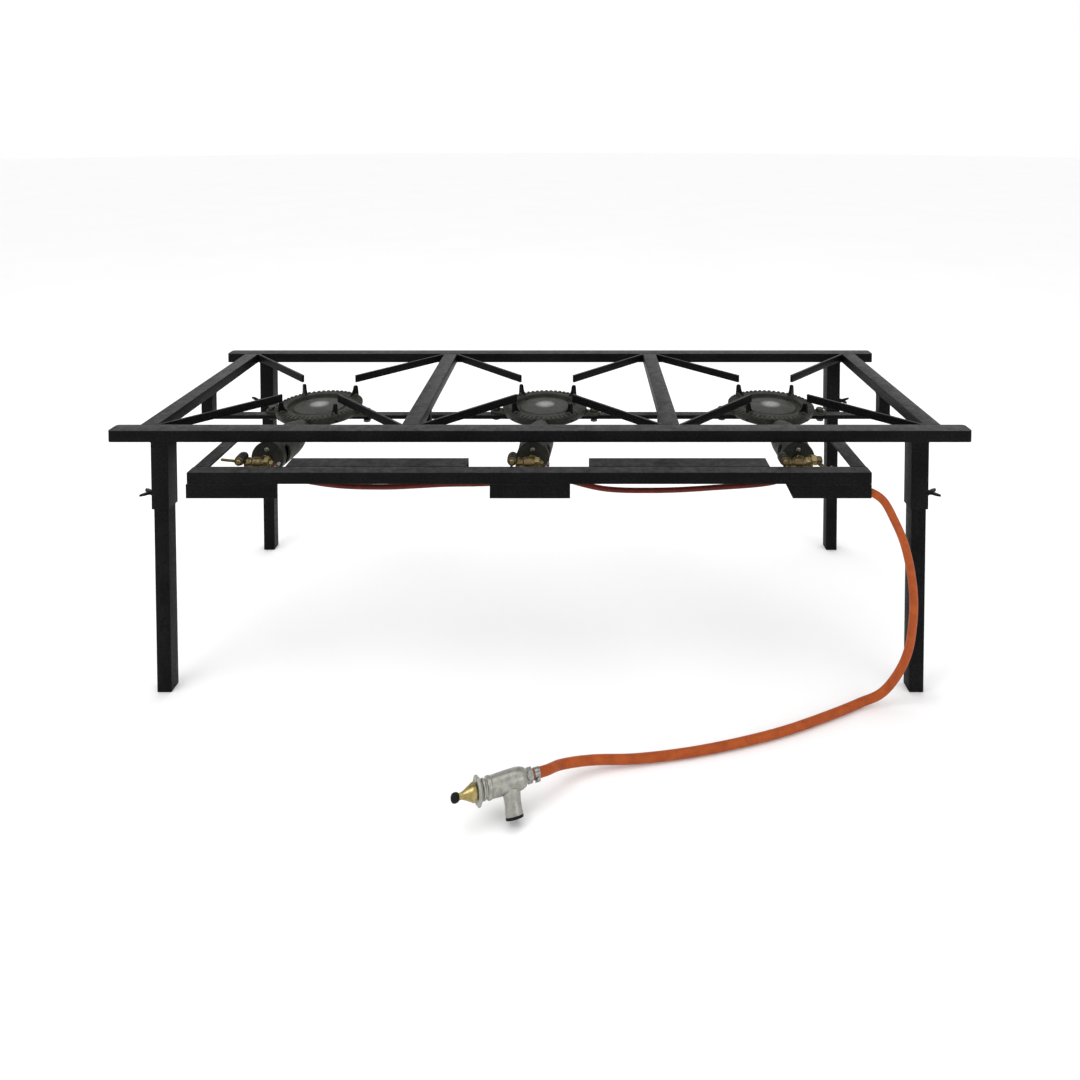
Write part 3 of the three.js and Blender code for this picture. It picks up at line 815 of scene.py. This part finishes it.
def tube_screw(bay, place):
    """The slotted screw in the front wall of the mixing tube."""
    face = Matrix.Translation((0, MIXER_FRONT, MIXER_Z + 17)) @ TO_COOK
    head = bmesh.new()
    add_lathe(head, rounded_profile([(0, -1), (4.4, -1), (4.4, 1.2), (3.2, 2.6), (0, 2.9)], 0.8), 32, face)
    slot = bmesh.new()
    stopped_at = Matrix.Rotation(0.5 + BAYS.index(bay), 4, "Z")
    add_prism(slot, [(-5, -0.5), (5, -0.5), (5, 0.5), (-5, 0.5)], 1.6, 4, face @ stopped_at)
    piece(f"burner_{bay}_tube_screw", carve(head, [slot]), [PLATED], matrix=place, slot="screw_steel")


def ear_bolts(bay, place):
    """A washer and a bolt head on each ear, and a nut under the burner bar."""
    ear_top = PAN_BOTTOM + 6
    washer_top = ear_top + 1.5
    nut_top = 396.5
    washer = rounded_profile([(0, ear_top), (8.6, ear_top), (8.6, washer_top), (0, washer_top)], 0.4)
    bm = bmesh.new()
    for x in (-EAR_X, EAR_X):
        at = Matrix.Translation((x, 0, 0))
        add_lathe(bm, washer, 32, at)
        add_hex(bm, 13, washer_top, washer_top + 5.1, at, turn=0.4 + x)
        add_hex(bm, 13, nut_top - 4.9, nut_top, at, turn=1.1 + x)
    piece(f"burner_{bay}_bolts", bm, [DARK_STEEL], matrix=place, slot="screw_steel")


for bay, burner_x, yaw in zip(BAYS, BURNER_X, YAW):
    burner_place = TABLE @ Matrix.Translation((burner_x, 0, 0)) @ Matrix.Rotation(yaw, 4, "Z")
    burner_casting(bay, burner_place)
    tube_screw(bay, burner_place)
    ear_bolts(bay, burner_place)


# ---------------------------------------------------------------- gas cocks and levers
def barbed_nozzle(bm, here, port):
    """A hex root and a barbed hose nozzle, in the cock's own frame."""
    x, z, angle, length = port
    direction = Vector((math.cos(angle), 0, math.sin(angle)))
    at = axis_frame(Vector((x, 0, z)) - direction * 2, direction, Vector((0, 1, 0)))
    profile = [(0, 0), (5.4, 0), (5.4, 8), (3.4, 9.2)]
    for barb in range(4):
        s = 11 + 4 * barb
        profile += [(3.2, s), (4.1, s + 0.8), (3.2, s + 3.6)]
    profile += [(2.4, length + 2), (0, length + 2)]
    add_lathe(bm, profile, 24, here @ at)
    add_hex(bm, 11.5, 3, 8.5, here @ at)


def gas_cock(bay):
    """A barrel along X, with a dark plug housing on its left and an injector into the mixing tube."""
    i = BAYS.index(bay)
    here = Matrix.Translation((MOUTH_X[i], COCK_Y, COCK_Z))
    bm = bmesh.new()
    barrel = [(0, -28), (7.6, -28), (9.4, -26.5), (9.4, -20.5), (7.9, -19.5), (7.9, -15), (9.8, -13),
              (10, -9), (10, 0), (8.6, 2.5), (8.6, 6), (0, 6)]
    add_lathe(bm, rounded_profile(barrel, 1.0), 40, here @ ALONG_X)
    add_hex(bm, 17, 5.5, 13.6, here @ ALONG_X)
    add_lathe(bm, rounded_profile([(0, 13), (5.6, 13), (5.6, 16), (0, 16)], 0.8), 32, here @ ALONG_X)
    housing = here @ Matrix.Translation((HOUSING_X, 0, HOUSING_Z)) @ Matrix.Rotation(-math.pi / 2, 4, "X")
    shell = [(0, -13), (7.4, -13), (8.8, -11.8), (8.8, -8.6), (7.8, -7.8), (7.8, -6.4), (9, -5.2),
             (9, 5), (7.4, 7), (7.4, 9), (0, 9)]
    add_lathe(bm, rounded_profile(shell, 0.7), 40, housing, 1)
    add_hex(bm, 11, 8.5, 12, housing, 1)
    injector = here @ Matrix.Translation((0, 0, MIXER_Z - COCK_Z)) @ Matrix.Rotation(-math.pi / 2, 4, "X")
    stem = [(0, 0), (7.4, 0), (7.4, 9), (6.2, 10.5), (6.2, 15), (6.8, 16), (6.8, 27), (2.6, 33), (0, 33)]
    add_lathe(bm, rounded_profile(stem, 0.6), 32, injector)
    add_hex(bm, 17.5, 15.2, 22.6, injector, turn=0.3)
    barbed_nozzle(bm, here, SUPPLY_INLET if i == 2 else INLET)
    if i == 2:
        union = here @ Matrix.Translation((0, 0, SUPPLY_INLET[1])) @ ALONG_X
        add_lathe(bm, rounded_profile([(0, 10), (6.5, 10), (6.5, 30), (5.6, 34), (0, 35)], 0.8), 32, union)
        add_hex(bm, 16, 15, 24, union, turn=0.3)
    if i > 0:
        barbed_nozzle(bm, here, OUTLET)
    obj = piece(f"gas_cock_{bay}_body", bm, [BRASS, DARK_STEEL], slot="cock_brass")
    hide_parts(f"gas_cock_{bay}")


LEVER_DEGREES = {"left": 174, "mid": 264, "right": 264}
LEVER_HUB = 7.5
LEVER_HALF_WIDTH = 2.2
LEVER_LENGTH = 31.0


def cock_lever(bay):
    """A pressed plate on the plug's square, with its nut. It faces the cook."""
    i = BAYS.index(bay)
    hub = Vector((MOUTH_X[i] + HOUSING_X, LEVER_Y, COCK_Z + HOUSING_Z))
    # local +X along the blade, local +Z away from the cook
    turn = Matrix.Rotation(-math.radians(LEVER_DEGREES[bay]), 4, "Y") @ Matrix.Rotation(-math.pi / 2, 4, "X")
    place = TABLE @ Matrix.Translation(hub) @ turn
    spread = math.degrees(math.asin(LEVER_HALF_WIDTH / LEVER_HUB))
    tip = arc(LEVER_LENGTH - LEVER_HALF_WIDTH, 0, LEVER_HALF_WIDTH, -90, 90, 8)
    outline = [*tip, *arc(0, 0, LEVER_HUB, spread, 360 - spread, 28)]
    bm = bmesh.new()
    add_plate(bm, outline, -1.25, 1.25, 0.45)
    grip = [*arc(27.5, 0, 1.2, -90, 90, 6), *arc(11, 0, 1.2, 90, 270, 6)]
    add_plate(bm, grip, -1.7, -1.0, 0.3)
    add_hex(bm, 7.4, -3.4, -1.0, Matrix(), 1)
    add_lathe(bm, [(0, 1), (3.4, 1), (3.4, 3.6), (0, 3.6)], 20, material=1)
    obj = piece(f"cock_lever_{bay}_plate", bm, [PASSIVATED, BRASS], f"cock_lever_{bay}", place,
                slot="lever_steel")
    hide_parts(f"cock_lever_{bay}")


for bay in BAYS:
    gas_cock(bay)
    cock_lever(bay)


# ---------------------------------------------------------------- link hoses and clamps
def add_band_clamp(bm, centre, direction, radius, width, up=Vector((0, 0, 1))):
    """A worm-drive band round a hose: a thin strap, a housing and a screw."""
    at = axis_frame(centre, direction, up)
    half = width / 2
    strap = [(radius, -half), (radius + 0.9, -half), (radius + 0.9, half), (radius, half)]
    add_lathe(bm, strap, 40, at, closed=True)
    block = at @ Matrix.Translation((0, radius + 2.0, 0))
    side = [(-3.2, -1.6), (3.2, -1.6), (3.2, 1.4), (-3.2, 1.4)]
    add_plate(bm, side, -half + 0.4, half - 0.4, 0.5, block)
    axis = block @ Matrix.Translation((0, 0.2, 0)) @ ALONG_X
    add_lathe(bm, rounded_profile([(0, 2.6), (2.5, 2.6), (2.5, 6.2), (0, 6.2)], 0.5), 20, axis)


LINK_RADIUS = 4.5
LINK_SAG_Z = {"left": 367.5, "right": 361.5}


def link_hose(name, first, second):
    """From one cock's inlet to the next cock's outlet. It sags left of the middle."""
    sag_z = LINK_SAG_Z[name]
    middle = (MOUTH_X[first] + MOUTH_X[second]) / 2 - 25
    points = [
        port_point(first, INLET, INLET[3] + GAP), port_point(first, INLET, INLET[3] + 14),
        Vector((middle - 90, COCK_Y, sag_z + 4)), Vector((middle, COCK_Y, sag_z)),
        Vector((middle + 100, COCK_Y, sag_z + 4.5)),
        port_point(second, OUTLET, OUTLET[3] + 14), port_point(second, OUTLET, OUTLET[3] + GAP),
    ]
    line = catmull_rom(points, 16)
    line.insert(0, port_point(first, INLET, 8))
    line.append(port_point(second, OUTLET, 8))
    bm = bmesh.new()
    add_tube(bm, line, LINK_RADIUS, 20)
    obj = piece(f"link_hose_{name}_rubber", bm, [DARK_RED], slot="link_hose_rubber")
    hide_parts(f"link_hose_{name}")
    clamps = bmesh.new()
    for bay, port in ((first, INLET), (second, OUTLET)):
        spot = port_point(bay, port, 15)
        toward = port_point(bay, port, 20) - spot
        add_band_clamp(clamps, spot, toward, LINK_RADIUS + 0.05, 6)
    piece(f"link_hose_{name}_clamps", clamps, [PLATED], slot="screw_steel")


link_hose("left", 0, 1)
link_hose("right", 1, 2)


# ---------------------------------------------------------------- wing screws
WING_TURN = {"front_left": -5, "front_right": 5, "rear_left": 62, "rear_right": -48}


def add_wing(bm, side):
    """A flat wing that leans outwards, from rings of points along its middle line."""
    rings = []
    steps = 10
    for k in range(steps + 1):
        t = k / steps
        centre = Vector((14 + 8.5 * t, side * (1.2 + 7.4 * t ** 0.8), 0))
        width = 2.4 + 1.9 * math.sin(math.pi * (0.1 + 0.66 * t))
        if k == steps:
            centre += Vector((3.2, side * 2.2, 0))
            width = 0.9
        elif k == steps - 1:
            centre += Vector((2.0, side * 1.4, 0))
            width = 3.0
        thick = 2.8 - 0.9 * t
        ring = []
        for m in range(16):
            angle = 2 * math.pi * m / 16
            across = Vector((-0.6 * side, 0.8, 0)) * width * math.cos(angle)
            ring.append(bm.verts.new(centre + across + Vector((0, 0, thick * math.sin(angle)))))
        rings.append(ring)
    add_faces(bm, rings)
    bm.faces.new(rings[0][::-1])
    bm.faces.new(rings[-1])


def wing_screw(corner):
    """Local +X runs outwards, from the socket's wall."""
    sx = -1 if "left" in corner else 1
    sy = -1 if "front" in corner else 1
    bm = bmesh.new()
    shank = [(0, 0)] + [(2.9 - 0.4 * (k % 2), 0.3 + 0.5 * k) for k in range(15)] + [(0, 8)]
    add_lathe(bm, shank, 24, ALONG_X)
    hub = [(0, 6.3), (4.8, 6.3), (5.4, 7.2), (4.6, 9.2), (3.9, 12), (4.4, 15.5), (3.6, 18), (0, 18.4)]
    add_lathe(bm, rounded_profile(hub, 0.8), 32, ALONG_X)
    for side in (-1, 1):
        add_wing(bm, side)
    place = (TABLE @ Matrix.Translation((sx * (SOCKET_X + SOCKET_INSIDE), sy * SOCKET_Y, SCREW_Z))
             @ Matrix.Rotation(math.pi if sx < 0 else 0.0, 4, "Z")
             @ Matrix.Rotation(math.radians(WING_TURN[corner]), 4, "X"))
    obj = piece(f"wing_screw_{corner}_cast", bm, [PAINT], f"wing_screw_{corner}", place,
                sharp=50, slot="screw_steel")
    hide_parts(f"wing_screw_{corner}")


for corner in CORNERS:
    wing_screw(corner)


# ---------------------------------------------------------------- regulator
# Profiles are pairs of radius and station. The branch's own stations start at the regulator's axis.
BRANCH = axis_frame(Vector((BRANCH_STATION, 0, 0)), Vector((0, -math.cos(BRANCH_DIP), -math.sin(BRANCH_DIP))))


def regulator_piece(name, bm, material, slot, body=FRAME_BODY):
    return piece(name, bm, [material], body, REGULATOR_PLACE, slot=slot)


def regulator_body():
    bm = bmesh.new()
    barrel = [(0, 41.8), (9.6, 41.8), (11.6, 42.8), (11.6, 44.6), (13.6, 45.4), (13.6, 48.4), (12, 49.4),
              (12, 51), (14.4, 52.4), (14.8, 54), (14.8, 57), (13.8, 58.4), (14.3, 68), (14.8, 82), (15, 97),
              (14.1, 104), (11.8, 110), (8.6, 112.6), (8.6, 114), (0, 114)]
    add_lathe(bm, rounded_profile(barrel, 0.9), 64, ALONG_X)
    branch = [(0, 6), (13.4, 8), (13.4, 12), (12.4, 16.5), (11.9, 23), (12.1, 33), (12.6, 40.4), (0, 40.4)]
    add_lathe(bm, rounded_profile(branch, 2.2), 48, BRANCH)
    obj = regulator_piece("regulator_body_cast", bm, ZINC, "regulator_zinc")
    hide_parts("regulator_body")
    return obj


def branch_rim():
    """A black ring round the branch's mouth, and a plug inside it."""
    bm = bmesh.new()
    ring = [(9.6, 37.5), (12.6, 39.6), (12.8, 40.4), (12.8, 42.4), (12.2, 43), (10.6, 43), (9.6, 42.2)]
    add_lathe(bm, ring, 48, BRANCH, closed=True)
    add_lathe(bm, [(0, 40), (9.8, 40), (9.8, 40.8), (0, 40.8)], 32, BRANCH)
    return regulator_piece("regulator_branch_rim", bm, BLACK_RUBBER, "regulator_zinc")


def tail_nut():
    bm = bmesh.new()
    add_hex(bm, 17.4, 113.4, 121.6, ALONG_X, turn=0.35)
    tail = [(0, 120), (7.2, 120), (7.2, 122.8), (5.4, 123.6), (5, 131), (0, 131)]
    add_lathe(bm, rounded_profile(tail, 0.6), 32, ALONG_X)
    return regulator_piece("regulator_tail_nut", bm, PLATED, "regulator_zinc")


def tail_clamp():
    bm = bmesh.new()
    screw_side = Vector((0, -0.8, -0.6))
    add_band_clamp(bm, Vector((128.5, 0, 0)), Vector((1, 0, 0)), HOSE_RADIUS + 0.1, 8, screw_side)
    return regulator_piece("regulator_tail_clamp", bm, PLATED, "regulator_zinc")


def scallop(radius, z, angle):
    """Eight finger grips round the handwheel's rim."""
    weight = smooth_step(radius, 13, 18)
    return radius + weight * (0.6 * math.cos(8 * angle) - 0.1), z


def handwheel():
    bm = bmesh.new()
    # one face's points, from the hub to the rim; the other face mirrors them
    half = [(0, -2.5), (9, -2.5), (10, -1.3), (13.4, -1.3), (14.6, -2.5), (17.3, -2.5), (18.4, -1.6)]
    profile = [*half, (18.6, 0), *[(radius, -z) for radius, z in reversed(half)]]
    at = Matrix.Translation((WHEEL_STATION, 0, 0)) @ ALONG_X
    add_lathe(bm, rounded_profile(profile, 0.6), 128, at, shape=scallop)
    obj = regulator_piece("regulator_wheel_cast", bm, ZINC, "regulator_zinc", "regulator_handwheel")
    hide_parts("regulator_handwheel")
    return obj


def hexed(radius, z, angle):
    """Flattens the spigot's wide end to a hexagon of 22 mm across flats."""
    flat = 1 / math.cos((angle + math.pi / 6) % (math.pi / 3) - math.pi / 6)
    weight = smooth_step(z, 23, 30)
    limit = 11 * flat
    return radius * (1 - weight) + min(radius, limit) * weight, z


def spigot():
    bm = bmesh.new()
    profile = [(0, 11), (4.2, 11), (4.3, 15), (5.2, 18), (7.2, 22), (9.4, 26.4), (11.2, 29.6), (12.2, 31.4),
               (12.2, 35), (11.5, 36.1), (0, 36.1)]
    add_lathe(bm, rounded_profile(profile, 0.8), 72, ALONG_X, shape=hexed)
    obj = regulator_piece("regulator_spigot_brass", bm, BRIGHT_BRASS, "regulator_brass",
                          "regulator_handwheel")
    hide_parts("regulator_spigot")
    return obj


def nose_seal():
    bm = bmesh.new()
    nose = [(0, 0), (3, 0.3), (5.2, 1.6), (6.3, 4), (6.6, 6.4), (6.1, 9), (5, 11), (3.8, 12), (0, 12)]
    add_lathe(bm, rounded_profile(nose, 0.8), 40, ALONG_X)
    return regulator_piece("regulator_nose_seal", bm, BLACK_RUBBER, "regulator_brass", "regulator_handwheel")


def inlet_clamp():
    """The clamp on the supply hose's other end, at the right cock."""
    bm = bmesh.new()
    spot = port_point(2, SUPPLY_INLET, 31)
    toward = port_point(2, SUPPLY_INLET, 36) - spot
    add_band_clamp(bm, spot, toward, HOSE_RADIUS + 0.1, 8)
    return piece("supply_hose_inlet_clamp", bm, [PLATED], slot="screw_steel")


regulator = [regulator_body(), branch_rim(), tail_nut(), tail_clamp(), handwheel(), spigot(), nose_seal()]
inlet = inlet_clamp()


# ---------------------------------------------------------------- weld beads
SEED_STEP = 1.7
RAIL_FACE = 249.0            # a seam with both ends past this |y| would lie outside the long rails
RAIL_INSIDE = 219.6          # |y| of the long rails' inner faces
CONTROL_RAIL_REAR = -270.9   # y
GUARD_SEAM = (-292.6, 391.6)      # y and z
BAR_HANGERS = [(-690, 0), (690, 0)]
CONTROL_HANGERS = [(-231, -77), (231, -77)]
SIDE_BAR_X = [-589, 533]
# the x range of each plate's row of welds
GUARD_WELDS = [(-586, -443), (-78, 49), (430, 555)]
SHIELD_WELDS = [(-422, -137), (97, 382)]


class Welder:
    """Draws rippled beads into one mesh. Every seam has its own seed."""

    def __init__(self):
        self.bm = bmesh.new()
        self.seed = 0.0

    def skip(self):
        self.seed += SEED_STEP

    def bead(self, start, end, radius=1.7):
        start = Vector(start)
        end = Vector(end)
        seed = self.seed
        length = (end - start).length
        count = max(6, int(length / 1.1))
        points = [start.lerp(end, k / count) for k in range(count + 1)]
        wander = [noise.noise(Vector((seed, k * 0.35, 3.1))) for k in range(count + 1)]

        def ripple(distance):
            ends = min(1.0, distance / 1.5 + 0.35, (length - distance) / 1.5 + 0.35)
            k = min(count, int(round(distance / length * count)))
            return radius * ends * (1 + 0.16 * math.sin(distance * 2.6 + seed) + 0.22 * wander[k])

        add_tube(self.bm, points, ripple, 8)
        self.skip()

    def around(self, x, y, z, half_x, half_y, radius):
        """Four beads in a rectangle, without any that would lie outside the long rails."""
        corners = [(x + half_x * sx, y + half_y * sy, z) for sx, sy in ((-1, -1), (1, -1), (1, 1), (-1, 1))]
        for start, end in zip(corners, [*corners[1:], corners[0]]):
            if min(abs(start[1]), abs(end[1])) < RAIL_FACE:
                self.bead(start, end, radius)
            else:
                self.skip()

    def stitches(self, span, count, length, y, z, radius):
        """Short beads along X, spread evenly over a span."""
        low, high = span
        for k in range(count):
            start = low + (high - low - length) * k / (count - 1)
            self.bead((start, y, z), (start + length, y, z), radius)


def weld_cross_rails(welder):
    for i in range(4):
        x = BAY_PITCH * (i - 1.5)
        for y in (-RAIL_INSIDE, RAIL_INSIDE):
            for side in (-15.2, 15.2):
                welder.bead((x + side, y, RAIL_UNDER + 1), (x + side, y, TABLE_TOP - 2.2))
            welder.bead((x - 14, y, RAIL_UNDER), (x + 14, y, RAIL_UNDER))


def weld_sockets(welder):
    for x in (-SOCKET_X, SOCKET_X):
        for y in (-SOCKET_Y, SOCKET_Y):
            welder.around(x, y, RAIL_UNDER - GAP, SOCKET_HALF, SOCKET_HALF - 0.3, 1.5)


def weld_hangers(welder):
    for places, half, foot_z in ((BAR_HANGERS, 11, 404.9), (CONTROL_HANGERS, 10, 386.9)):
        for x, y in places:
            for z in (foot_z, RAIL_UNDER - 0.2):
                welder.around(x, y, z, half, half, 1.3)


def weld_pot_arms(welder):
    """Two upright beads where each arm meets the corner of its bay."""
    for i in range(3):
        for sx in (-1, 1):
            for sy in (-1, 1):
                for in_x, in_y in ((4.2, 0.4), (0.4, 4.2)):
                    x = BAY_PITCH * (i - 1) + sx * (215.8 - in_x)
                    y = sy * (219.8 - in_y)
                    welder.bead((x, y, 450.6), (x, y, 463.4), 1.6)


def weld_control_frame(welder):
    for x in SIDE_BAR_X:
        for z in (408, 411.6):
            welder.bead((x + 1, CONTROL_RAIL_REAR, z), (x + 24, CONTROL_RAIL_REAR, z), 1.1)
    for span in GUARD_WELDS:
        welder.stitches(span, 3, 22, *GUARD_SEAM, 1.2)
    for span in SHIELD_WELDS:
        welder.stitches(span, 4, 20, CONTROL_RAIL_REAR, 409.3, 1.1)


welder = Welder()
weld_cross_rails(welder)
weld_sockets(welder)
weld_hangers(welder)
weld_pot_arms(welder)
weld_control_frame(welder)
piece("frame_weld_beads", welder.bm, [PAINT], sharp=60, slot="frame_paint")
